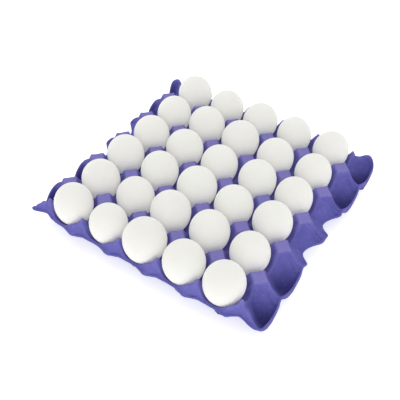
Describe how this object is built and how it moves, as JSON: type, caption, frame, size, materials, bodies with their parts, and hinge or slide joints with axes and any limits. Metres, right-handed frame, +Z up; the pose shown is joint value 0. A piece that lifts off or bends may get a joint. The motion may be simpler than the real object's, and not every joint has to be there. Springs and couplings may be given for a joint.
{
  "type": "egg carton with eggs",
  "caption": "Square open tray of moulded pulp with rounded cells and posts, filled with whole white hen's eggs standing on their points.",
  "frame": {"origin": "on the table, under the middle of the tray", "axes": "+X across the five columns, +Y along the six rows to the back, +Z up"},
  "size_m": [0.292, 0.2884, 0.0686],
  "materials": {
    "pulp": "matte violet-blue moulded pulp, slightly fibrous, paler on worn caps and edges",
    "eggshell": "off-white eggshell with a soft sheen and fine pores"
  },
  "bodies": {
    "root": {"tray": "pulp", "egg_row1_column1": "eggshell", "egg_row1_column2": "eggshell", "egg_row1_column3": "eggshell", "egg_row1_column4": "eggshell", "egg_row1_column5": "eggshell", "egg_row2_column1": "eggshell", "egg_row2_column2": "eggshell", "egg_row2_column3": "eggshell", "egg_row2_column4": "eggshell", "egg_row2_column5": "eggshell", "egg_row3_column1": "eggshell", "egg_row3_column2": "eggshell", "egg_row3_column3": "eggshell", "egg_row3_column4": "eggshell", "egg_row3_column5": "eggshell", "egg_row4_column1": "eggshell", "egg_row4_column2": "eggshell", "egg_row4_column3": "eggshell", "egg_row4_column4": "eggshell", "egg_row4_column5": "eggshell", "egg_row5_column1": "eggshell", "egg_row5_column2": "eggshell", "egg_row5_column3": "eggshell", "egg_row5_column4": "eggshell", "egg_row5_column5": "eggshell", "egg_row6_column1": "eggshell", "egg_row6_column2": "eggshell", "egg_row6_column3": "eggshell", "egg_row6_column4": "eggshell", "egg_row6_column5": "eggshell"}
  },
  "joints": []
}
